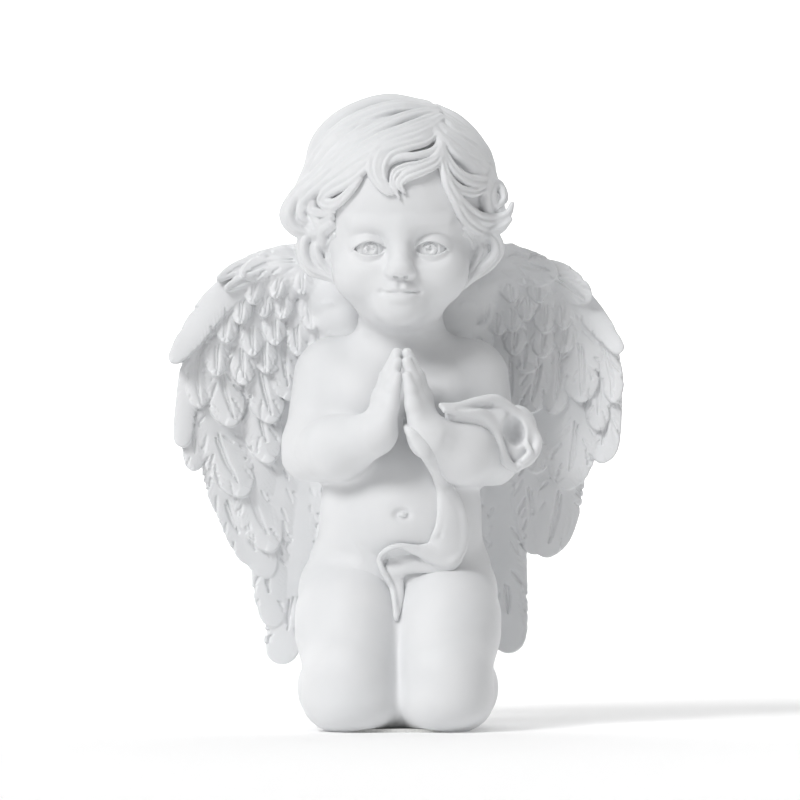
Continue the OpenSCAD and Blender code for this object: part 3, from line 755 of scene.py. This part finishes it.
def wing_surface(out, z):
    """The middle of a wing stands off the back, comes forward toward its outer side and rolls over at
    the top."""
    sweep = np.sin(np.radians(90 * np.clip((out - 6) / 16, 0, 1)))
    return (13 + 11 * sweep - 8.5 * (np.maximum(out - 18, 0) / 34) ** 1.4
            - 5.0 * (np.clip(z - 97, 0, 10) / 18) ** 2 + 0.07 * np.clip(z - 105.5, 0, 7) ** 2
            + 1.5 * np.clip((62 - z) / 45, 0, 1))


def feather(clay, side, level, spine, widths, face, chance, turn=0.0):
    """One feather. face is -1 on the front of the wing, 1 on its back, and 0 for a blade that shows on
    both. Its shaft is a pair of cuts, and slanting cuts part its barbs. turn sets its outer edge further
    back, as on the rim of the wing, where a blade is plain."""
    rows = np.column_stack([spine, widths])
    end, tip = rows[-1, 2], rows[-1, :2] - rows[-2, :2]
    tip = tip / np.linalg.norm(tip)
    rows[-1, :2] -= 0.25 * end * tip
    rows = np.vstack([rows, np.append(rows[-1, :2] + 0.72 * end * tip, 0.55 * end)])    # a long round tip
    path = smooth_path(rows, 6)
    steps = np.linalg.norm(np.diff(path[:, :2], axis=0), axis=1)
    run_on = np.concatenate([[0], np.cumsum(steps)])
    wide = path[:, 2].max()
    length = run_on[-1] + path[-1, 2]
    xs = np.sort(side * np.array((path[:, 0].min(), path[:, 0].max())))
    cut, _ = clay.near((xs[0], 0, path[:, 1].min()), (xs[1], 40, path[:, 1].max()), wide + 2)
    out = side * clay.axes[0][cut[0]][:, None]
    z = clay.axes[2][cut[2]][None, :]
    # How far each grain is outside the blade, along it from its root, and across it from its shaft
    q = np.full(np.broadcast_shapes(out.shape, z.shape), FAR, np.float32)
    along, across = np.zeros_like(q), np.zeros_like(q)
    for i in range(len(path) - 1):
        ax, az, aw = path[i]
        rx, rz, rw = path[i + 1] - path[i]
        flat = ((out - ax) * rx + (z - az) * rz) / (rx * rx + rz * rz)
        t = np.clip(flat, 0, 1)
        gap = np.hypot(out - ax - t * rx, z - az - t * rz) - aw - t * rw
        nearer = gap < q
        q = np.where(nearer, gap, q)
        along = np.where(nearer, run_on[i] + (flat if i == len(path) - 2 else t) * steps[i], along)
        across = np.where(nearer, (rx * (z - az) - rz * (out - ax)) / steps[i], across)
    share = np.clip(along / length, 0, 1)
    # The tip stands proud of the row below, the root sinks, and the blade is full along its shaft.
    lift = 1.15 * level + 1.4 * share ** 4 - 1.4 * (1 - share) ** 1.3
    lean = 0.09 * chance.uniform(-1, 1) - turn
    bulge = 0.75 * (1 - np.clip(np.abs(across) / wide, 0, 1) ** 2.5) + lean * across

    fine = min(max(wide / 4.4, 0.6), 1)
    barbs = np.clip(3 * np.abs(across) / wide - 0.7, 0, 1) * np.clip(share * 3 - 0.6, 0, 1)
    groove = 0.06 * barbs * (1 + np.sin((along - 1.1 * np.abs(across)) * 2 * math.pi / 1.25))

    def cut_line(a0, c0, a1, c1, deep, half=0.3):
        da, dc = a1 - a0, c1 - c0
        t = np.clip(((along - a0) * da + (across - c0) * dc) / (da * da + dc * dc), 0, 1)
        miss = (along - a0 - t * da) ** 2 + (across - c0 - t * dc) ** 2
        line = fine * deep * np.exp(-miss / (fine ** 0.5 * half * (0.75 + 0.6 * np.sin(math.pi * t))) ** 2)
        np.maximum(groove, line, out=groove)

    shift = chance.uniform(-0.12, 0.12) * wide
    first, last = chance.uniform(0.3, 0.5), chance.uniform(0.8, 0.91)
    first = max(first, 1 - 16 / length)
    for off in () if turn else (-0.4, 0.4):
        cut_line(first * length + off, shift + off, last * length - 2 * off, shift + 0.5 * off, 0.8, 0.27)
    for hand in (-1, 1):
        a0 = chance.uniform(0.25, 0.4) * length
        while a0 < (0.0 if turn else 0.9 if wide > 3.2 else 0.7) * length:
            c0 = shift + hand * wide * chance.uniform(0.2, 0.6)
            run = chance.uniform(1.6, 3.6)
            if chance.uniform() < 0.7:
                cut_line(a0, c0, a0 + run, c0 + hand * run * chance.uniform(0.45, 0.7),
                         chance.uniform(0.35, 0.75), 0.28)
            a0 += chance.uniform(2.0, 5.2)
        for _ in range(2 + int(length / 9)):                                # slits in the edge
            a0 = chance.uniform(0.3, 0.92) * length
            cut_line(a0, hand * wide * 0.72, a0 + 1.6, hand * wide * 1.15, 0.8, 0.3)
    q = q + 0.6 * groove * np.clip(np.abs(across) / wide * 4 - 2, 0, 1)

    base = wing_surface(out, z)
    y = clay.axes[1][None, :, None]
    if face == 0:
        middle = base - 0.8 * level
        front = (middle - bulge + groove)[:, None, :] - y - 1.1
        back = y - (middle + bulge - groove)[:, None, :] - 0.7
    elif face < 0:
        front = (base - lift - bulge + groove)[:, None, :] - y - 0.5
        back = y - base[:, None, :] - 0.4
    else:
        front = base[:, None, :] - y - 0.4
        back = y - (base + 0.75 * lift + bulge - groove)[:, None, :] - 0.4
    soft = 0.45
    dx = q[:, None, :] + soft
    dy = np.maximum(front, back) + soft
    d = (np.minimum(np.maximum(dx, dy), 0) + np.sqrt(np.maximum(dx, 0) ** 2 + np.maximum(dy, 0) ** 2)
         - soft).astype(np.float32)
    block = (cut[0], slice(None), cut[2])
    clay.field[block] = soft_min(clay.field[block], d, 0.25)


def press_wing(clay, side, feathers):
    """All the feathers of a wing, the bone along its top, and its broad root."""
    chance = np.random.default_rng(11 if side == RIGHT else 12)
    for level, spine, widths, *turn in feathers:
        for face in (0,) if level < 1 else (-1, 1):
            feather(clay, side, level, spine, widths, face, chance, *(turn if face < 1 else ()))
    bone = [(side * x, y, z, r) for x, y, z, r in
            ((10, 16, 66, 3.4), (10, 16, 92, 3.6), (19, 20, 104, 3.2), (29, 19.5, 109, 2.6),
             (39, 18.5, 103.5, 2.0), (48, 16.5, 92, 1.2))]
    for a, b in zip(bone, bone[1:]):
        clay.press(limb(a[:3], b[:3], a[3], b[3]), 2)
    clay.press(limb((side * 9.5, 15.5, 95), (side * 15, 18, 104.5), 3.2, 3.0), 2)
    for z in (68, 74, 80, 86, 92, 98, 104):
        clay.press(limb((side * 10, 15.5, z), (side * 20, 20.5, z - 3), 3.2, 1.8), 2.5)


# ---------------------------------------------------------------- the castings

PAD_STRAIGHT, PAD_CORNER, PAD_DEEP = (8, 20), 6.2, 0.85     # the recess for the felt pad


def pad_recess(x, y, z):
    """The recess under the figure: a rectangle with round corners."""
    out_x, out_y = np.abs(x) - PAD_STRAIGHT[0], np.abs(y) - PAD_STRAIGHT[1]
    corner = np.hypot(np.maximum(out_x, 0), np.maximum(out_y, 0))
    outline = corner + np.minimum(np.maximum(out_x, out_y), 0)
    return np.maximum(outline - PAD_CORNER + 0 * z, z - PAD_DEEP)


def under(x, y, z):
    """Everything below the surface that the figure stands on."""
    return z + 0 * x + 0 * y


def inside_head(x, y, z):
    """What is further back than the visible part of an eyeball."""
    return -17.4 - y + 0 * x + 0 * z


def make_body():
    """Torso and legs as one casting, and the bare figure that the sash is laid on."""
    body = Clay((-25, -34, 0), (26, 32, 101), grain=0.42)
    arms, head = body.like(), body.like()
    press_figure(body)
    press_arm(arms, RIGHT)
    press_arm(arms, LEFT)
    press_head(head)
    joined = meeting(body, [arms, head], JOIN)
    joined.carve((np.full(3, -60), np.array((60, 60, 0)), under))
    joined.carve((np.array((-16, -28, -2)), np.array((16, 28, 0.8)), pad_recess))
    figure = body.like()
    figure.field = soft_min(body.field, arms.field, JOIN)
    return joined.skin("body_casting", most=150000), figure


def make_arm(side, name, low, high):
    """An arm, cut where it meets the torso and the other hand."""
    arm = Clay(low, high, grain=0.3)
    torso, partner = arm.like(), arm.like()
    press_arm(arm, side)
    press_torso(torso)
    press_arm(partner, -side)
    piece = meeting(arm, [torso], JOIN)
    piece.field = np.maximum(piece.field, arm.field - partner.field - SEAM)
    return piece.skin(name, most=70000)


def make_sash(press, name, low, high, figure):
    clay = Clay(low, high, grain=0.25)
    press(clay, figure)
    return clay.skin(name, most=40000)


def make_head():
    """Skull, face and neck, without the hair."""
    head = Clay((-22, -28, 84), (23, 24, 149), grain=0.26)
    torso = head.like()
    press_head(head)
    press_face(head)
    press_torso(torso)
    return meeting(head, [torso], JOIN).skin("head_casting", most=170000)


def make_eye(side, name):
    """The front of an eyeball, in finer clay than the head."""
    ex = FACE_X + side * EYE[0]
    eye = Clay((ex - 5.2, -21.2, 108.2), (ex + 5.2, -17.0, 118.6), grain=0.13)
    press_eye(eye, side)
    eye.carve((np.array((ex - 9, -30, 100)), np.array((ex + 9, 0, 130)), inside_head))
    return eye.skin(name, most=30000)


def make_hair():
    hair = Clay((-30, -28, 98), (31, 29, 153), grain=0.3)
    press_hair(hair)
    return hair.skin("hair_curls", most=190000)


def make_wing(side, name, feathers):
    inner, outer = sorted((side * 4, side * 57))
    wing = Clay((inner, 6, 12), (outer, 34, 119), grain=0.25)
    press_wing(wing, side, feathers)
    return wing.skin(name, most=195000)


body_piece, figure = make_body()
pieces = [
    (body_piece, "body"),
    (make_arm(RIGHT, "right_arm_casting", (-28, -28, 57), (2, 13, 93)), "right_arm"),
    (make_arm(LEFT, "left_arm_casting", (0, -28, 56), (30, 13, 93)), "left_arm"),
    (make_sash(press_sash_fall, "sash_fall_cloth", (-8, -30, 24), (20, -8, 76), figure), "sash_fall"),
    (make_sash(press_sash_over, "sash_over_cloth", (7, -27, 58), (36, 2, 82), figure), "sash_over"),
    (make_head(), "head"),
    (make_eye(RIGHT, "right_eye"), "head"),
    (make_eye(LEFT, "left_eye"), "head"),
    (make_hair(), "head"),
    (make_wing(RIGHT, "right_wing_casting", RIGHT_WING), "right_wing"),
    (make_wing(LEFT, "left_wing_casting", LEFT_WING), "left_wing"),
]

# ---------------------------------------------------------------- materials


def group_with(name, inputs, outputs):
    """An empty node group with float inputs (name, value) and outputs (name, socket type)."""
    group = bpy.data.node_groups.new(name, "ShaderNodeTree")
    for label, value in inputs:
        socket = group.interface.new_socket(name=label, in_out="INPUT", socket_type="NodeSocketFloat")
        socket.default_value = value
    for label, kind in outputs:
        group.interface.new_socket(name=label, in_out="OUTPUT", socket_type=kind)
    return group, group.nodes.new("NodeGroupInput"), group.nodes.new("NodeGroupOutput")


def noise_in(tree, place, scale, detail, rough=0.5):
    node = tree.nodes.new("ShaderNodeTexNoise")
    node.inputs["Scale"].default_value = scale
    node.inputs["Detail"].default_value = detail
    node.inputs["Roughness"].default_value = rough
    tree.links.new(place, node.inputs["Vector"])
    return node.outputs["Fac"]


def ranged(tree, value, low, high, to_low, to_high):
    node = tree.nodes.new("ShaderNodeMapRange")
    for label, number in (("From Min", low), ("From Max", high), ("To Min", to_low), ("To Max", to_high)):
        node.inputs[label].default_value = number
    tree.links.new(value, node.inputs["Value"])
    return node.outputs["Result"]


def maths(tree, kind, a, b):
    node = tree.nodes.new("ShaderNodeMath")
    node.operation = kind
    for socket, value in zip(node.inputs, (a, b)):
        if isinstance(value, (int, float)):
            socket.default_value = value
        else:
            tree.links.new(value, socket)
    return node.outputs[0]


def cast_surface():
    """The surface of something cast and hand finished: clouds of tone, a fine grain and a few pinholes, which
    are sunk into the relief and also darkened in colour as painted shade."""
    group, entry, result = group_with(
        "cast_surface", (("Cloud Scale", 60), ("Grain Scale", 900), ("Pinholes", 0.6)),
        (("Tone", "NodeSocketFloat"), ("Height", "NodeSocketFloat")))
    place = group.nodes.new("ShaderNodeTexCoord").outputs["Object"]
    clouds = noise_in(group, place, 60, 3)
    grain = noise_in(group, place, 900, 2)
    group.links.new(entry.outputs["Cloud Scale"], clouds.node.inputs["Scale"])
    group.links.new(entry.outputs["Grain Scale"], grain.node.inputs["Scale"])
    cells = group.nodes.new("ShaderNodeTexVoronoi")
    cells.inputs["Scale"].default_value = 210
    group.links.new(place, cells.inputs["Vector"])
    pinhole_and_shade = ranged(group, cells.outputs["Distance"], 0.03, 0.075, 1, 0)
    some = ranged(group, noise_in(group, place, 75, 1), 0.63, 0.66, 0, 1)    # pits in a few cells only
    pinhole_and_shade = maths(group, "MULTIPLY", maths(group, "MULTIPLY", pinhole_and_shade, some), entry.outputs["Pinholes"])
    tone = ranged(group, clouds, 0.3, 0.7, 0, 1)
    # Painted shade: the pinholes are darkened in the colour tone as well as sunk in the height.
    tone = maths(group, "SUBTRACT", tone, maths(group, "MULTIPLY", pinhole_and_shade, 0.8))
    group.links.new(tone, result.inputs["Tone"])
    waves = maths(group, "MULTIPLY", clouds, 0.5)
    height = maths(group, "SUBTRACT", maths(group, "ADD", grain, waves), pinhole_and_shade)
    group.links.new(height, result.inputs["Height"])
    return group


def fibre_surface():
    """The nap of felt and the drawn lines of steel rod: noise, stretched along Y by less than one."""
    group, entry, result = group_with(
        "fibre_surface", (("Scale", 1500), ("Stretch", 1)),
        (("Tone", "NodeSocketFloat"), ("Height", "NodeSocketFloat")))
    place = group.nodes.new("ShaderNodeTexCoord").outputs["Object"]
    stretch = group.nodes.new("ShaderNodeCombineXYZ")
    for label in ("X", "Z"):
        stretch.inputs[label].default_value = 1
    group.links.new(entry.outputs["Stretch"], stretch.inputs["Y"])
    mapping = group.nodes.new("ShaderNodeMapping")
    group.links.new(place, mapping.inputs["Vector"])
    group.links.new(stretch.outputs["Vector"], mapping.inputs["Scale"])
    fibres = noise_in(group, mapping.outputs["Vector"], 1500, 4, 0.65)
    group.links.new(entry.outputs["Scale"], fibres.node.inputs["Scale"])
    group.links.new(ranged(group, fibres, 0.3, 0.7, 0, 1), result.inputs["Tone"])
    group.links.new(fibres, result.inputs["Height"])
    return group


def material_of(name, group, values, dark, light, rough, bump, **constants):
    """A material whose colour and roughness run between two values with the group's tone. bump is the
    strength and the depth of its relief."""
    material = bpy.data.materials.new(name)
    material.use_nodes = True
    tree = material.node_tree
    shader = tree.nodes["Principled BSDF"]
    surface = tree.nodes.new("ShaderNodeGroup")
    surface.node_tree = group
    for label, value in values.items():
        surface.inputs[label].default_value = value
    mix = tree.nodes.new("ShaderNodeMix")
    mix.data_type = "RGBA"
    colours = [socket for socket in mix.inputs if socket.type == "RGBA"]
    colours[0].default_value, colours[1].default_value = (*dark, 1), (*light, 1)
    tree.links.new(surface.outputs["Tone"], mix.inputs[0])
    blend = next(socket for socket in mix.outputs if socket.type == "RGBA")
    tree.links.new(blend, shader.inputs["Base Color"])
    tree.links.new(ranged(tree, surface.outputs["Tone"], 0, 1, *rough), shader.inputs["Roughness"])
    relief = tree.nodes.new("ShaderNodeBump")
    relief.inputs["Strength"].default_value = bump[0]
    relief.inputs["Distance"].default_value = bump[1]
    tree.links.new(surface.outputs["Height"], relief.inputs["Height"])
    tree.links.new(relief.outputs["Normal"], shader.inputs["Normal"])
    for label, value in constants.items():
        shader.inputs[label.replace("_", " ")].default_value = value
    return material


cast, fibre = cast_surface(), fibre_surface()
resin = material_of("cast_resin", cast, {}, (0.74, 0.75, 0.762), (0.785, 0.79, 0.80), (0.62, 0.55),
                    (0.35, 0.00005), IOR=1.48)
plug = material_of("plug_resin", cast, {"Grain Scale": 1400, "Pinholes": 0}, (0.70, 0.71, 0.72),
                   (0.75, 0.755, 0.76), (0.55, 0.45), (0.3, 0.00004))
steel = material_of("drawn_steel", fibre, {"Scale": 2600, "Stretch": 0.03}, (0.50, 0.51, 0.53),
                    (0.62, 0.63, 0.65), (0.38, 0.26), (0.3, 0.00003), Metallic=1.0)
felt = material_of("felt", fibre, {"Scale": 1700, "Stretch": 0.8}, (0.62, 0.62, 0.61),
                   (0.74, 0.74, 0.72), (0.98, 0.9), (0.8, 0.0002), Sheen_Weight=0.3)
for node, material in (("wing_dowels", steel), ("base_plug", plug), ("felt_pad", felt)):
    for slot in bpy.data.objects[node].material_slots:
        slot.link = "OBJECT"
        slot.material = material

for piece, node in pieces:
    piece.data.materials.append(resin)
    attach(piece, "root")
    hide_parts(node)

# ---------------------------------------------------------------- studio

VIEW_WIDTH, EYE_LEVEL = 0.1905, 0.0779       # what the picture takes in across, and the camera's height
LENS, SENSOR = 300, 36


def paper(name, glow):
    """White background paper that also gives off a little light."""
    material = bpy.data.materials.new(name)
    material.use_nodes = True
    shader = material.node_tree.nodes["Principled BSDF"]
    shader.inputs["Base Color"].default_value = (0.9, 0.9, 0.9, 1)
    shader.inputs["Roughness"].default_value = 0.9
    shader.inputs["Emission Color"].default_value = (1, 1, 1, 1)
    shader.inputs["Emission Strength"].default_value = glow
    return material


def sheet(name, place, tilt, glow):
    """A large sheet of paper, turned about X by tilt degrees."""
    bpy.ops.mesh.primitive_plane_add(size=6, location=place, rotation=(math.radians(tilt), 0, 0))
    thing = bpy.context.object
    thing.name = name
    thing.data.materials.append(paper(name + "_paper", glow))


def sun(name, way, power, softness):
    """A lamp that shines along a direction; softness is its width in the sky, in degrees."""
    light = bpy.data.lights.new(name, "SUN")
    light.energy, light.angle = power, math.radians(softness)
    thing = bpy.data.objects.new(name, light)
    bpy.context.scene.collection.objects.link(thing)
    thing.rotation_euler = Vector(way).to_track_quat("-Z", "Y").to_euler()


sheet("studio_floor", (0, 0, 0), 0, 0.12)
sheet("studio_backdrop", (0, 1.6, 0), 90, 0.7)
sun("key_lamp", (0.52, 0.58, -0.62), 1.78, 20)              # from the upper left
sun("top_lamp", (0.0, 0.35, -1), 0.55, 40)

scene = bpy.context.scene
scene.world = scene.world or bpy.data.worlds.new("studio")
scene.world.use_nodes = True
sky = scene.world.node_tree.nodes["Background"]
sky.inputs["Color"].default_value = (1, 1, 1, 1)
sky.inputs["Strength"].default_value = 0.2

camera_data = bpy.data.cameras.new("camera")
camera_data.lens, camera_data.sensor_width = LENS, SENSOR
camera = bpy.data.objects.new("camera", camera_data)
scene.collection.objects.link(camera)
camera.location = (0.0005, -VIEW_WIDTH * LENS / SENSOR, EYE_LEVEL)
camera.rotation_euler = (math.radians(90), 0, 0)
scene.camera = camera
scene.view_settings.view_transform = "Standard"
